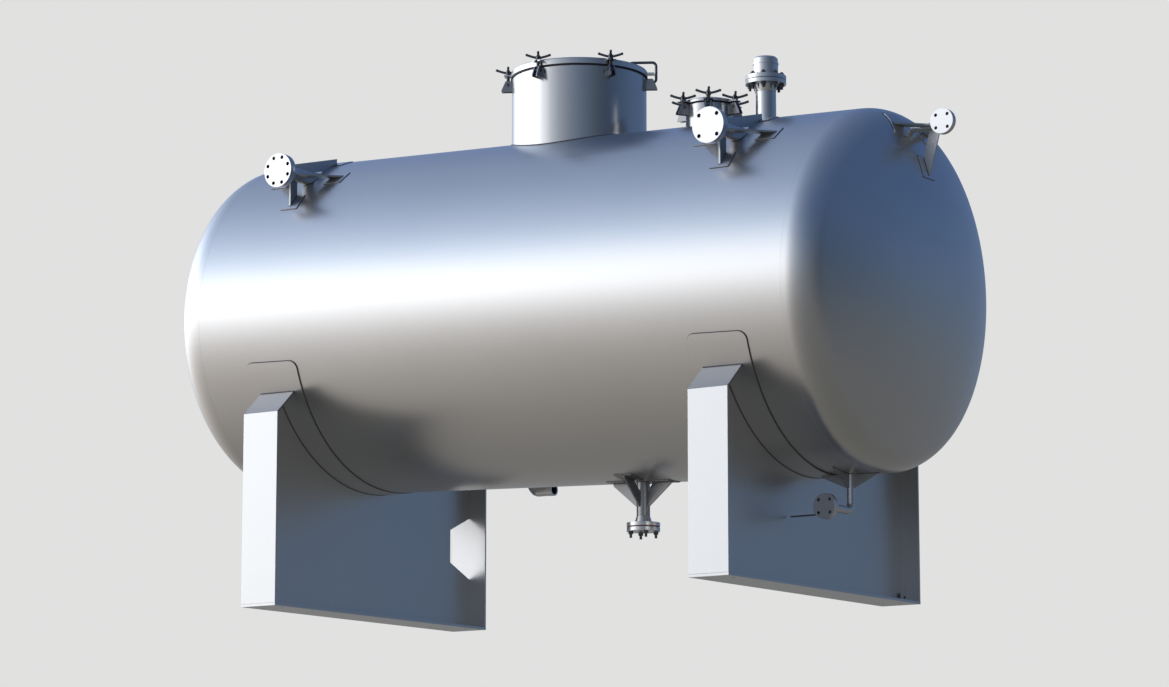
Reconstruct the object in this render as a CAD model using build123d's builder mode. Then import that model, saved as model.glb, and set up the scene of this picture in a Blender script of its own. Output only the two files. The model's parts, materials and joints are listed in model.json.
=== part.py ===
from build123d import *
from math import acos, asin, cos, degrees, hypot, pi, radians, sin, sqrt, tan
import os

# A stainless steel pressure tank that lies on two welded saddles.
# The frame is in millimetres, +Z up, +X along the tank towards its low end, and -Y the side
# of the two flanged inlets. The origin is at floor level, midway between the saddles.

os.makedirs("parts", exist_ok=True)

# Vessel
shell_radius = 1000
shell_wall = 8
shell_length = 3990
shell_shift = -25
belly_height = 696
fall_angle = 2.165
skirt_length = 25
crown_share = 1.0
knuckle_share = 0.1

# Overrun of cuts and of pieces that are trimmed to the vessel
overrun = 60

# Saddles
saddle_from_weld = 471
saddle_width = 250
flange_plate = 12
web_plate = 12
base_plate = 15
cap_plate = 12
cap_drop = 133
cap_angle = 30
wear_plate = 8
wear_plate_angle = 19.5
wear_plate_width = 376
wear_plate_middle_share = 0.45
wear_plate_corner = 50
window_depth = 200
window_tall = 380
window_short = 200
window_height = 505
anchor_hole_radius = 12
anchor_offset_x = 72
anchor_from_edge = 140
lug_size = (50, 26, 52)
lug_gap_to_web = 12
lug_hole_radius = 7

# Manway
manway_radius = 392
manway_wall = 10
manway_stand = 373
manway_gasket = 10
manway_gasket_width = 24
manway_cover_radius = 399
manway_cover_skirt = 34
manway_cover_rise = 45
manway_cover_plate = 12
manway_cover_corner = 8
manway_ear_height = 25
manway_clamp_radius = 417
manway_clamp_count = 6
manway_clamp_start = 90
manway_hinges = 1
manway_handle_lift = 0

# Hand hole
hand_x = 900
hand_radius = 136.5
hand_wall = 6
hand_stand = 97
hand_gasket = 7
hand_gasket_width = 18
hand_cover_radius = 146
hand_cover_skirt = 17
hand_cover_rise = 18
hand_cover_plate = 9
hand_cover_corner = 5
hand_ear_height = 8
hand_clamp_radius = 170
hand_clamp_count = 6
hand_clamp_start = -60
hand_hinges = 0
hand_handle_lift = 10

# Swing clamps of both covers
fork_drop = 64
fork_reach = 38
fork_toe = 10
fork_plate = 8
fork_slot = 22
pivot_drop = 8
clamp_rod_radius = 9
clamp_rod_above = 8
clamp_eye_radius = 14
clamp_washer_radius = 17
clamp_washer = 4
clamp_hub_radius = 15
clamp_hub_height = 22
clamp_arm_radius = 7
clamp_arm_reach = 66
clamp_arm_rise = 18
clamp_arm_bow = 2
clamp_arm_count = 4
clamp_arm_facing = 35
ear_width = 54
ear_plate = 8
ear_overhang = 22
ear_slot = 22

# Bent arm on which the manway cover swings aside
handle_radius = 8
handle_inset = 110
handle_rise = 56
handle_clearance = 32
handle_bend = 24

# Flanged side inlets
inlet_from_saddle = (15, 55)
inlet_below_top = (139, 250)
inlet_face_inset = 85
inlet_hole_counts = (8, 4)
inlet_names = ("left_inlet", "right_inlet")
inlet_pipe_radius = 44.45
inlet_pipe_wall = 3.2
inlet_flange_radius = 100
inlet_flange = 44
inlet_hub = 28
inlet_hub_radius = 54
inlet_pcd = 160
inlet_hole_radius = 11
inlet_brace_start = 85
inlet_top_brace_inset = 634
inlet_top_brace_height = 164
inlet_side_brace_inset = 390
inlet_side_brace_drop = 12
inlet_side_brace_reach = 240
inlet_bottom_brace_start = 115

# Small vent nozzle on the low end
small_pipe_radius = 21.2
small_pipe_wall = 2.6
small_bend = 44
small_flange_radius = 70
small_flange = 35
small_hub = 15
small_hub_radius = 28
small_pcd = 100
small_hole_count = 4
small_hole_radius = 9
end_nozzle_reach = 65
end_nozzle_below_top = 202
end_nozzle_face_y = -100
end_brace_back = 62
end_brace_drop = 266
end_brace_tip = 128
end_side_brace_half = 200
end_side_brace_tip = 242

# Drain on the underside
drain_x = 440
drain_pipe_radius = 38.05
drain_pipe_wall = 2.9
drain_flange_radius = 95
drain_stand = 250
drain_flange = 22
drain_gasket = 6
drain_gasket_radius = 92
drain_hub = 40
drain_hub_radius = 50
drain_brace_half = 200
drain_brace_stand = 161
drain_brace_nose = 12

# Outlet with an elbow and a lever valve
outlet_from_saddle = 271
outlet_stand = 272
outlet_face_y = -285
outlet_brace_half = 180
outlet_brace_stand = 148
outlet_brace_nose = 10
valve_radius = 28
valve_length = 50
valve_edge = 6
lever_stem_radius = 9
lever_stem = 5
lever_length = 230
lever_setback = 16
lever_width = 20
lever_plate = 7

# Small outlet behind the middle of the underside
rear_x = -640
rear_side_share = 0.45
rear_rise = 51
rear_pipe_radius = 35
rear_pipe_wall = 3
rear_bend = 45
rear_leg = 116
rear_socket_radius = 37
rear_socket_bore = 28
rear_socket = 35

# Safety vent
vent_x = 1275
vent_pipe_radius = 57.15
vent_pipe_wall = 3.6
vent_hub = 42
vent_hub_radius = 66
vent_flange_radius = 115
vent_stand = 173
vent_flange = 23
vent_gasket = 3
vent_gasket_radius = 80
vent_body_radius = 70
vent_body_height = 66
vent_rim_radius = 73
vent_rim = 10
vent_cap_radius = 69
vent_cap_height = 34
vent_cap_edge = 10
vent_roof = 20

# Flat bars that brace the branches
brace_width = 62
brace_plate = 10
brace_root_share = 0.9

# Pads on the vessel under the feet of the bars
foot_pad_size = 125
foot_pad_plate = 5
foot_pad_corner = 10
inlet_side_foot = 198
inlet_low_foot = 168
inlet_top_foot = 0.34
drain_foot = 150
end_side_foot = 150
end_low_foot = 225

# Dished ends: the radii of crown and knuckle are shares of the vessel's diameter
crown_radius = crown_share * 2 * shell_radius
knuckle_radius = knuckle_share * 2 * shell_radius

# Heights of the vessel, and the places of its saddles and branches
axis_height = belly_height + shell_radius
vessel_top = axis_height + shell_radius
saddle_half_spacing = shell_length / 2 - saddle_from_weld
saddle_half_depth = shell_radius + wear_plate + flange_plate
anchor_half_spacing_y = saddle_half_depth - anchor_from_edge
manway_top = vessel_top + manway_stand
hand_top = vessel_top + hand_stand
inlet_x = (inlet_from_saddle[0] - saddle_half_spacing, saddle_half_spacing - inlet_from_saddle[1])
inlet_z = tuple(vessel_top - drop for drop in inlet_below_top)
inlet_face_y = inlet_face_inset - shell_radius
inlet_top_brace_y = inlet_top_brace_inset - shell_radius
inlet_side_brace_y = inlet_side_brace_inset - shell_radius
end_nozzle_z = vessel_top - end_nozzle_below_top
drain_flange_top = belly_height - drain_stand
drain_brace_bottom = belly_height - drain_brace_stand
outlet_x = saddle_half_spacing + outlet_from_saddle
outlet_z = belly_height - outlet_stand
outlet_brace_bottom = belly_height - outlet_brace_stand
rear_y = rear_side_share * shell_radius
rear_z = belly_height + rear_rise
vent_flange_bottom = vessel_top + vent_stand

# Directions and places on the sloping axis of the vessel
fall = radians(fall_angle)
along = Vector(cos(fall), 0, -sin(fall))
tank_axis = Axis((0, 0, axis_height), tuple(along))


def axis_point(distance):
    return Vector(0, 0, axis_height) + along * distance


def cross_plane(distance):
    """A plane across the vessel, with its x along +Y and its y upwards."""
    return Plane(origin=axis_point(distance), x_dir=(0, 1, 0), z_dir=along)


def axis_height_at(x):
    return axis_height - x * tan(fall)


def save(piece, name):
    piece.part.label = name
    export_step(piece.part, f"parts/{name}.step")


# Vessel ends: the curve of a dished end, as a profile over its distance from the weld
knuckle_turn = degrees(asin((shell_radius - knuckle_radius) / (crown_radius - knuckle_radius)))
crown_centre = skirt_length - (crown_radius - knuckle_radius) * cos(radians(knuckle_turn))
shell_start = shell_shift - shell_length / 2
shell_end = shell_shift + shell_length / 2
end_nozzle_x = shell_end + crown_centre + crown_radius + end_nozzle_reach


def end_plane(distance, outward):
    """A plane through the axis, with its x pointing out of the vessel and its y upwards."""
    return Plane(origin=axis_point(distance), x_dir=along * outward, z_dir=(0, -outward, 0))


def end_curve(depth):
    """The curve of an end at a depth under its outer face, from the weld to the axis."""
    rim = shell_radius - depth
    Line((0, rim), (skirt_length, rim))
    CenterArc((skirt_length, shell_radius - knuckle_radius), knuckle_radius - depth, 90, knuckle_turn - 90)
    CenterArc((crown_centre, 0), crown_radius - depth, knuckle_turn, -knuckle_turn)


def vessel_body(grow):
    """The vessel as one full body, larger than it is by a layer on its outside."""
    with BuildPart() as body:
        with BuildSketch(cross_plane(shell_start)):
            Circle(shell_radius + grow)
        extrude(amount=shell_length)
        for distance, outward in ((shell_start, -1), (shell_end, 1)):
            with BuildSketch(end_plane(distance, outward)):
                with BuildLine():
                    end_curve(-grow)
                    Line((0, shell_radius + grow), (0, 0))
                    Line((0, 0), (crown_centre + crown_radius + grow, 0))
                make_face()
            revolve(axis=tank_axis)
    return body.part


envelope = vessel_body(0)
skin = vessel_body(foot_pad_plate) - envelope

for name, distance, outward in (("left_end", shell_start, -1), ("right_end", shell_end, 1)):
    with BuildPart() as vessel_end:
        with BuildSketch(end_plane(distance, outward)):
            with BuildLine():
                end_curve(0)
                end_curve(shell_wall)
                Line((0, shell_radius), (0, shell_radius - shell_wall))
                Line((crown_centre + crown_radius, 0), (crown_centre + crown_radius - shell_wall, 0))
            make_face()
        revolve(axis=tank_axis)
        if outward > 0:
            with BuildSketch(Plane(origin=(shell_end, 0, end_nozzle_z), z_dir=(1, 0, 0))):
                Circle(small_pipe_radius - small_pipe_wall)
            extrude(amount=crown_radius, mode=Mode.SUBTRACT)
    save(vessel_end, name)

# Shell, with a bore under each branch
branch_bores = [
    (Plane(origin=(0, 0, axis_height), z_dir=(0, 0, 1)), manway_radius - manway_wall),
    (Plane(origin=(hand_x, 0, axis_height), z_dir=(0, 0, 1)), hand_radius - hand_wall),
    (Plane(origin=(vent_x, 0, axis_height), z_dir=(0, 0, 1)), vent_pipe_radius - vent_pipe_wall),
    (Plane(origin=(drain_x, 0, axis_height), z_dir=(0, 0, -1)), drain_pipe_radius - drain_pipe_wall),
    (Plane(origin=(outlet_x, 0, axis_height), z_dir=(0, 0, -1)), small_pipe_radius - small_pipe_wall),
    (Plane(origin=(rear_x, rear_y, axis_height), z_dir=(0, 0, -1)), rear_pipe_radius - rear_pipe_wall),
]
for x, z in zip(inlet_x, inlet_z):
    branch_bores.append((Plane(origin=(x, 0, z), z_dir=(0, -1, 0)), inlet_pipe_radius - inlet_pipe_wall))

with BuildPart() as shell:
    with BuildSketch(cross_plane(shell_start)):
        Circle(shell_radius)
        Circle(shell_radius - shell_wall, mode=Mode.SUBTRACT)
    extrude(amount=shell_length)
    for bore_plane, bore_radius in branch_bores:
        with BuildSketch(bore_plane):
            Circle(bore_radius)
        extrude(amount=shell_radius + overrun, mode=Mode.SUBTRACT)
save(shell, "shell")


# Saddles
def cap_lines(x):
    """Outer and inner corners of a sloping cap at a saddle, as distances from the middle and heights."""
    pad_radius = shell_radius + wear_plate
    height = axis_height_at(x)
    high = (pad_radius * cos(radians(cap_angle)), height - pad_radius * sin(radians(cap_angle)))
    low = (saddle_half_depth, high[1] - cap_drop)
    slope = hypot(high[0] - low[0], high[1] - low[1])
    unit = ((high[0] - low[0]) / slope, (high[1] - low[1]) / slope)
    inset = cap_plate / unit[1]
    reach = (high[0] + unit[0] * overrun, high[1] + unit[1] * overrun)
    return low, reach, (reach[0] - inset, reach[1]), (low[0] - inset, low[1])


saddle_pads = {}
for side, x in (("left", -saddle_half_spacing), ("right", saddle_half_spacing)):
    low, reach, inner_reach, inner_low = cap_lines(x)
    inner_face = saddle_half_depth - flange_plate
    pad_middle = (x + wear_plate_middle_share * shell_radius * sin(fall)) / cos(fall)

    with BuildPart() as saddle_base:
        with BuildSketch(Plane.XY):
            with Locations((x, 0)):
                Rectangle(saddle_width, 2 * saddle_half_depth)
                with GridLocations(2 * anchor_offset_x, 2 * anchor_half_spacing_y, 2, 2):
                    Circle(anchor_hole_radius, mode=Mode.SUBTRACT)
        extrude(amount=base_plate)
    save(saddle_base, f"{side}_saddle_base")

    with BuildPart() as saddle_web:
        with BuildSketch(Plane.YZ.offset(x - web_plate / 2)):
            with BuildLine():
                half = [(inner_face, base_plate), (inner_face, low[1]), inner_low, inner_reach]
                Polyline(*half, *[(-y, z) for y, z in reversed(half)], close=True)
            make_face()
            if side == "left":
                with BuildLine():
                    Polyline(
                        (inner_face, window_height - window_tall / 2),
                        (inner_face, window_height + window_tall / 2),
                        (inner_face - window_depth, window_height + window_short / 2),
                        (inner_face - window_depth, window_height - window_short / 2),
                        close=True,
                    )
                make_face(mode=Mode.SUBTRACT)
        extrude(amount=web_plate)
        with BuildSketch(cross_plane(shell_start)):
            Circle(shell_radius + wear_plate)
        extrude(amount=shell_length, mode=Mode.SUBTRACT)
    save(saddle_web, f"{side}_saddle_web")

    for place, sign in (("front", -1), ("back", 1)):
        with BuildPart() as saddle_flange:
            with BuildSketch(Plane.XY.offset(base_plate)):
                with Locations((x, sign * (saddle_half_depth - flange_plate / 2))):
                    Rectangle(saddle_width, flange_plate)
            extrude(amount=low[1] - base_plate)
        save(saddle_flange, f"{side}_saddle_{place}")

        with BuildPart() as saddle_cap:
            with BuildSketch(Plane.YZ.offset(x - saddle_width / 2)):
                with BuildLine():
                    outline = (low, reach, inner_reach, inner_low)
                    Polyline(*[(sign * y, z) for y, z in outline], close=True)
                make_face()
            extrude(amount=saddle_width)
            with BuildSketch(cross_plane(shell_start)):
                Circle(shell_radius + wear_plate)
            extrude(amount=shell_length, mode=Mode.SUBTRACT)
        save(saddle_cap, f"{side}_saddle_{place}_cap")

    with BuildPart() as saddle_pad:
        with BuildSketch(cross_plane(pad_middle - wear_plate_width / 2)):
            with BuildLine():
                sweep_angle = 180 - 2 * wear_plate_angle
                outer = CenterArc((0, 0), shell_radius + wear_plate, 180 + wear_plate_angle, sweep_angle)
                inner = CenterArc((0, 0), shell_radius, 180 + wear_plate_angle, sweep_angle)
                Line(outer @ 0, inner @ 0)
                Line(outer @ 1, inner @ 1)
            make_face()
        extrude(amount=wear_plate_width)
        corners = saddle_pad.edges().filter_by(GeomType.LINE)
        fillet([edge for edge in corners if edge.length < wear_plate_corner], wear_plate_corner)
    save(saddle_pad, f"{side}_saddle_pad")
    saddle_pads[side] = saddle_pad.part

# Earthing lug in the back corner of the right saddle
with BuildPart() as earthing_lug:
    lug_x = saddle_half_spacing + web_plate / 2 + lug_gap_to_web + lug_size[0] / 2
    lug_y = saddle_half_depth - flange_plate - lug_size[1] / 2
    with BuildSketch(Plane.XY.offset(base_plate)):
        with Locations((lug_x, lug_y)):
            Rectangle(lug_size[0], lug_size[1])
    extrude(amount=lug_size[2])
    with BuildSketch(Plane.XZ.offset(-lug_y)):
        with Locations((lug_x, base_plate + lug_size[2] / 2)):
            Circle(lug_hole_radius)
    extrude(amount=lug_size[1], both=True, mode=Mode.SUBTRACT)
save(earthing_lug, "earthing_lug")


# Covers with swing clamps
def fork_cheeks(ring_radius, top):
    """The two cheek plates that stand out of a neck and carry one swing bolt."""
    with BuildPart() as cheeks:
        for sign in (-1, 1):
            with BuildSketch(Plane.XZ.offset(sign * (fork_slot + fork_plate) / 2)):
                with BuildLine():
                    Polyline(
                        (ring_radius - overrun, top - fork_drop),
                        (ring_radius + fork_reach, top - fork_drop),
                        (ring_radius + fork_reach, top - fork_drop + fork_toe),
                        (ring_radius + clamp_eye_radius, top),
                        (ring_radius - overrun, top),
                        close=True,
                    )
                make_face()
            extrude(amount=fork_plate / 2, both=True)
    return cheeks.part


def swing_clamp(ring_radius, top, ear_top, lift, facing):
    """One swing bolt with its eye, washer and star handle, which may be backed off by a lift.

    An arm of the handle points at the angle facing, counted from the bolt's side of the cover.
    """
    pivot = top - pivot_drop - clamp_eye_radius
    hub_bottom = ear_top + clamp_washer + lift
    discs = (
        (pivot, clamp_rod_radius, hub_bottom + clamp_hub_height + clamp_rod_above - pivot),
        (ear_top, clamp_washer_radius, clamp_washer),
        (hub_bottom, clamp_hub_radius, clamp_hub_height),
    )
    with BuildPart() as clamp:
        with BuildSketch(Plane.XZ):
            with Locations((ring_radius, pivot)):
                Circle(clamp_eye_radius)
        extrude(amount=fork_slot / 2, both=True)
        for bottom, radius, height in discs:
            with BuildSketch(Plane.XY.offset(bottom)):
                with Locations((ring_radius, 0)):
                    Circle(radius)
            extrude(amount=height)
        for turn in range(clamp_arm_count):
            angle = radians(facing + 360 / clamp_arm_count * turn)
            arm_plane = Plane(
                origin=(ring_radius, 0, hub_bottom + clamp_hub_height / 2),
                x_dir=(cos(angle), sin(angle), 0),
                z_dir=(sin(angle), -cos(angle), 0),
            )
            with BuildLine(arm_plane) as arm:
                middle = (clamp_arm_reach / 2, clamp_arm_rise / 2 - clamp_arm_bow)
                ThreePointArc((0, 0), middle, (clamp_arm_reach, clamp_arm_rise))
            with BuildSketch(Plane(origin=arm.line @ 0, z_dir=arm.line % 0)):
                Circle(clamp_arm_radius)
            sweep()
    return clamp.part


def cover_ear(inner, ring_radius, top):
    """One slotted ear of a cover, which a swing bolt drops into."""
    with BuildPart() as ear:
        with BuildSketch(Plane.XY.offset(top)):
            with Locations(((inner + ring_radius + ear_overhang) / 2, 0)):
                Rectangle(ring_radius + ear_overhang - inner, ear_width)
            with Locations((ring_radius, 0)):
                Circle(ear_slot / 2, mode=Mode.SUBTRACT)
            with Locations((ring_radius + ear_overhang / 2, 0)):
                Rectangle(ear_overhang, ear_slot, mode=Mode.SUBTRACT)
        extrude(amount=-ear_plate)
    return ear.part


def clamped_cover(name, x, neck_sizes, seal_sizes, cover_sizes, clamp_sizes):
    """A round neck with its forks, gasket, domed cover and swing clamps. Returns the cover.

    The last forks of the ring belong to hinges and carry no star handle. The first star handle
    is backed off by a lift. All star handles face the same way.
    """
    radius, wall, top = neck_sizes
    seal, seal_width = seal_sizes
    cover_radius, skirt, rise, plate, corner, ear_height = cover_sizes
    ring_radius, count, start, hinges, lift = clamp_sizes
    stars = count - hinges
    spacing = 360 / count
    bottom = top + seal
    ear_top = bottom + ear_height
    cheeks = fork_cheeks(ring_radius, top)
    ear = cover_ear(cover_radius - plate / 2, ring_radius, ear_top)

    with BuildPart() as neck:
        with BuildSketch(Plane.XY.offset(axis_height)):
            with Locations((x, 0)):
                Circle(radius)
        extrude(amount=top - axis_height)
        with Locations((x, 0, 0)):
            with PolarLocations(0, count, start_angle=start):
                add(cheeks)
        with BuildSketch(Plane.XY.offset(axis_height)):
            with Locations((x, 0)):
                Circle(radius - wall)
        extrude(amount=top - axis_height, mode=Mode.SUBTRACT)
        add(envelope, mode=Mode.SUBTRACT)
    save(neck, f"{name}_neck")

    with BuildPart() as gasket:
        with BuildSketch(Plane.XY.offset(top)):
            with Locations((x, 0)):
                Circle(cover_radius)
                Circle(cover_radius - seal_width, mode=Mode.SUBTRACT)
        extrude(amount=seal)
    save(gasket, f"{name}_gasket")

    crown = (cover_radius**2 + rise**2) / (2 * rise)
    centre = bottom + skirt + rise - crown
    with BuildPart() as cover:
        with BuildSketch(Plane.XZ):
            with BuildLine(Plane.XZ):
                for depth in (0, plate):
                    rim = cover_radius - depth
                    edge = sqrt((crown - depth) ** 2 - rim**2)
                    turn = degrees(asin(edge / (crown - depth)))
                    Line((x + rim, bottom), (x + rim, centre + edge))
                    CenterArc((x, centre), crown - depth, turn, 90 - turn)
                Line((x + cover_radius, bottom), (x + cover_radius - plate, bottom))
                Line((x, centre + crown), (x, centre + crown - plate))
            make_face()
        revolve(axis=Axis((x, 0, 0), (0, 0, 1)))
        full_circles = cover.edges().filter_by(GeomType.CIRCLE).filter_by(lambda edge: edge.is_closed)
        rim_edge = full_circles.sort_by(Axis.Z)[-1]
        fillet(rim_edge, corner)
        with Locations((x, 0, 0)):
            with PolarLocations(0, count, start_angle=start):
                add(ear)
    save(cover, f"{name}_cover")

    with BuildPart() as clamps:
        for place in range(stars):
            angle = start + spacing * place
            backed_off = lift if place == 0 else 0
            clamp = swing_clamp(ring_radius, top, ear_top, backed_off, clamp_arm_facing - angle)
            with Locations(Location((x, 0, 0), (0, 0, angle))):
                add(clamp)
    save(clamps, f"{name}_clamps")
    return cover.part


manway_cover = clamped_cover(
    "manway",
    0,
    (manway_radius, manway_wall, manway_top),
    (manway_gasket, manway_gasket_width),
    (
        manway_cover_radius,
        manway_cover_skirt,
        manway_cover_rise,
        manway_cover_plate,
        manway_cover_corner,
        manway_ear_height,
    ),
    (manway_clamp_radius, manway_clamp_count, manway_clamp_start, manway_hinges, manway_handle_lift),
)
clamped_cover(
    "hand_hole",
    hand_x,
    (hand_radius, hand_wall, hand_top),
    (hand_gasket, hand_gasket_width),
    (
        hand_cover_radius,
        hand_cover_skirt,
        hand_cover_rise,
        hand_cover_plate,
        hand_cover_corner,
        hand_ear_height,
    ),
    (hand_clamp_radius, hand_clamp_count, hand_clamp_start, hand_hinges, hand_handle_lift),
)

# Bent arm of the manway cover, with its eye in the last fork
cover_top = manway_top + manway_gasket + manway_cover_skirt
hinge_height = manway_top - pivot_drop - clamp_eye_radius
with BuildPart() as manway_arm:
    arm_turn = Rotation(0, 0, manway_clamp_start - 360 / manway_clamp_count * manway_hinges)
    inner = manway_cover_radius - handle_inset
    outer = manway_clamp_radius + handle_clearance
    dome = manway_cover_rise * (1 - (inner / manway_cover_radius) ** 2)
    stops = (
        (inner, cover_top + dome - manway_cover_plate / 2),
        (inner, cover_top + handle_rise),
        (outer, cover_top + handle_rise),
        (outer, hinge_height),
        (manway_clamp_radius, hinge_height),
    )
    with BuildLine(Plane.XZ) as arm_path:
        FilletPolyline(*stops, radius=handle_bend)
    with BuildSketch(Plane(origin=arm_path.line @ 0, z_dir=arm_path.line % 0)):
        Circle(handle_radius)
    sweep()
    with BuildSketch(Plane.XZ):
        with Locations((manway_clamp_radius, hinge_height)):
            Circle(clamp_eye_radius)
    extrude(amount=fork_slot / 2, both=True)
with BuildPart() as turned_arm:
    add(arm_turn * manway_arm.part)
    add(manway_cover, mode=Mode.SUBTRACT)
save(turned_arm, "manway_arm")


# Flanges and pipes
def flange(name, face, radius, thickness, hub, hub_radius, pipe_radius, pipe_wall, holes=None, blank=True):
    """A flange on its face plane, with a tapered hub behind it. Holes are a count, a circle and a radius."""
    with BuildPart() as disc:
        with BuildSketch(face):
            Circle(radius)
            if holes:
                count, circle, hole_radius = holes
                with PolarLocations(circle / 2, count, start_angle=180 / count):
                    Circle(hole_radius, mode=Mode.SUBTRACT)
        extrude(amount=-thickness)
        with BuildSketch(face.offset(-thickness)):
            Circle(hub_radius)
        with BuildSketch(face.offset(-thickness - hub)):
            Circle(pipe_radius)
        loft()
        with BuildSketch(face.offset(-thickness - hub)):
            Circle(pipe_radius - pipe_wall)
        extrude(amount=hub if blank else hub + thickness, mode=Mode.SUBTRACT)
    save(disc, name)


def straight_pipe(name, start, length, radius, wall):
    """A pipe from a plane towards the vessel, trimmed to its outside."""
    with BuildPart() as tube:
        with BuildSketch(start):
            Circle(radius)
            Circle(radius - wall, mode=Mode.SUBTRACT)
        extrude(amount=length)
        add(envelope, mode=Mode.SUBTRACT)
    save(tube, name)


def bent_pipe(name, points, bend, radius, wall):
    """A pipe with one bend from inside the vessel outwards, trimmed to its outside."""
    with BuildPart() as tube:
        with BuildLine() as path:
            FilletPolyline(*points, radius=bend)
        with BuildSketch(Plane(origin=path.line @ 0, z_dir=path.line % 0)):
            Circle(radius)
            Circle(radius - wall, mode=Mode.SUBTRACT)
        sweep()
        add(envelope, mode=Mode.SUBTRACT)
    save(tube, name)


def foot_pads(name, planes):
    """Thin square pads on the vessel, where the feet of a branch's bars stand. Returns them."""
    with BuildPart() as squares:
        for plane in planes:
            with BuildSketch(plane):
                RectangleRounded(foot_pad_size, foot_pad_size, foot_pad_corner)
            extrude(amount=shell_radius + overrun)
    with BuildPart() as pads:
        add(squares.part & skin)
    save(pads, name)
    return pads.part


def shell_foot(x, turn):
    """A plane through the vessel's axis that faces a place on the shell, at a turn up from level."""
    return Plane(origin=(x, 0, axis_height_at(x)), x_dir=(1, 0, 0), z_dir=(0, -cos(turn), sin(turn)))


def brace_bar(pipe_radius, start, reach, finish, cut_across=False):
    """Outline of a flat bar beside a pipe: distances from the pipe's axis, and along it to the vessel."""
    rise = (finish - start) / (reach - pipe_radius)
    shift = brace_width * hypot(1, rise)
    root = brace_root_share * pipe_radius
    low = start - rise * (pipe_radius - root)
    tip = (reach - shift / rise, finish) if cut_across else (reach, finish + shift)
    return [(root, low), (reach, finish), tip, (root, low + shift)]


# Flanged side inlets
for name, x, z, count in zip(inlet_names, inlet_x, inlet_z, inlet_hole_counts):
    face = Plane(origin=(x, inlet_face_y, z), x_dir=(1, 0, 0), z_dir=(0, -1, 0))
    back_y = inlet_face_y + inlet_flange + inlet_hub
    flange(
        f"{name}_flange",
        face,
        inlet_flange_radius,
        inlet_flange,
        inlet_hub,
        inlet_hub_radius,
        inlet_pipe_radius,
        inlet_pipe_wall,
        holes=(count, inlet_pcd, inlet_hole_radius),
    )
    back = Plane(origin=(x, back_y, z), z_dir=(0, 1, 0))
    straight_pipe(f"{name}_pipe", back, -back_y, inlet_pipe_radius, inlet_pipe_wall)

    brace_y = inlet_face_y + inlet_brace_start
    low_brace_y = inlet_face_y + inlet_bottom_brace_start
    top_end = (inlet_top_brace_height, inlet_top_brace_y)
    top_bar = brace_bar(inlet_pipe_radius, brace_y, *top_end, cut_across=True)
    low_bar = brace_bar(inlet_pipe_radius, low_brace_y, inlet_side_brace_reach, low_brace_y)
    side_bar = brace_bar(inlet_pipe_radius, brace_y, inlet_side_brace_reach, inlet_side_brace_y)
    above_axis = z - axis_height_at(x)
    side_turn = asin((above_axis - inlet_side_brace_drop) / shell_radius)
    low_turn = asin((above_axis - inlet_low_foot) / shell_radius)
    feet = foot_pads(
        f"{name}_pads",
        [
            shell_foot(x - inlet_side_foot, side_turn),
            shell_foot(x + inlet_side_foot, side_turn),
            shell_foot(x, low_turn),
            shell_foot(x, acos(inlet_top_foot)),
        ],
    )
    with BuildPart() as braces:
        with BuildSketch(Plane.YZ.offset(x)):
            with BuildLine():
                Polyline(*[(y, z + out) for out, y in top_bar], close=True)
            make_face()
            with BuildLine():
                Polyline(*[(y, z - out) for out, y in low_bar], close=True)
            make_face()
        extrude(amount=brace_plate / 2, both=True)
        with BuildSketch(Plane.XY.offset(z - inlet_side_brace_drop)):
            for sign in (-1, 1):
                with BuildLine():
                    Polyline(*[(x + sign * out, y) for out, y in side_bar], close=True)
                make_face()
        extrude(amount=brace_plate / 2, both=True)
        with BuildSketch(face):
            Circle(inlet_pipe_radius)
        extrude(amount=inlet_face_y, mode=Mode.SUBTRACT)
        add(envelope, mode=Mode.SUBTRACT)
        add(feet, mode=Mode.SUBTRACT)
    save(braces, f"{name}_braces")

# Vent nozzle on the low end
end_face = Plane(origin=(end_nozzle_x, end_nozzle_face_y, end_nozzle_z), x_dir=(1, 0, 0), z_dir=(0, -1, 0))
small_sizes = (
    small_flange_radius,
    small_flange,
    small_hub,
    small_hub_radius,
    small_pipe_radius,
    small_pipe_wall,
)
small_holes = (small_hole_count, small_pcd, small_hole_radius)
flange("end_nozzle_flange", end_face, *small_sizes, holes=small_holes)
bent_pipe(
    "end_nozzle_pipe",
    [
        (shell_end, 0, end_nozzle_z),
        (end_nozzle_x, 0, end_nozzle_z),
        (end_nozzle_x, end_nozzle_face_y + small_flange + small_hub, end_nozzle_z),
    ],
    small_bend,
    small_pipe_radius,
    small_pipe_wall,
)
end_feet = foot_pads(
    "end_nozzle_pads",
    [
        Plane(origin=(shell_end, y, end_nozzle_z - drop), x_dir=(0, 1, 0), z_dir=(1, 0, 0))
        for y, drop in ((-end_side_foot, 0), (end_side_foot, 0), (0, end_low_foot))
    ],
)
with BuildPart() as end_braces:
    low_bar = brace_bar(small_pipe_radius, end_brace_back, end_brace_drop, end_brace_tip)
    side_bar = brace_bar(small_pipe_radius, end_brace_back, end_side_brace_half, end_side_brace_tip)
    with BuildSketch(Plane.XZ):
        with BuildLine():
            Polyline(*[(end_nozzle_x - back, end_nozzle_z - out) for out, back in low_bar], close=True)
        make_face()
    extrude(amount=brace_plate / 2, both=True)
    with BuildSketch(Plane.XY.offset(end_nozzle_z)):
        for sign in (-1, 1):
            with BuildLine():
                Polyline(*[(end_nozzle_x - back, sign * out) for out, back in side_bar], close=True)
            make_face()
    extrude(amount=brace_plate / 2, both=True)
    with BuildSketch(Plane.YZ.offset(shell_end)):
        with Locations((0, end_nozzle_z)):
            Circle(small_pipe_radius)
    extrude(amount=end_nozzle_x - shell_end, mode=Mode.SUBTRACT)
    add(envelope, mode=Mode.SUBTRACT)
    add(end_feet, mode=Mode.SUBTRACT)
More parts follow.
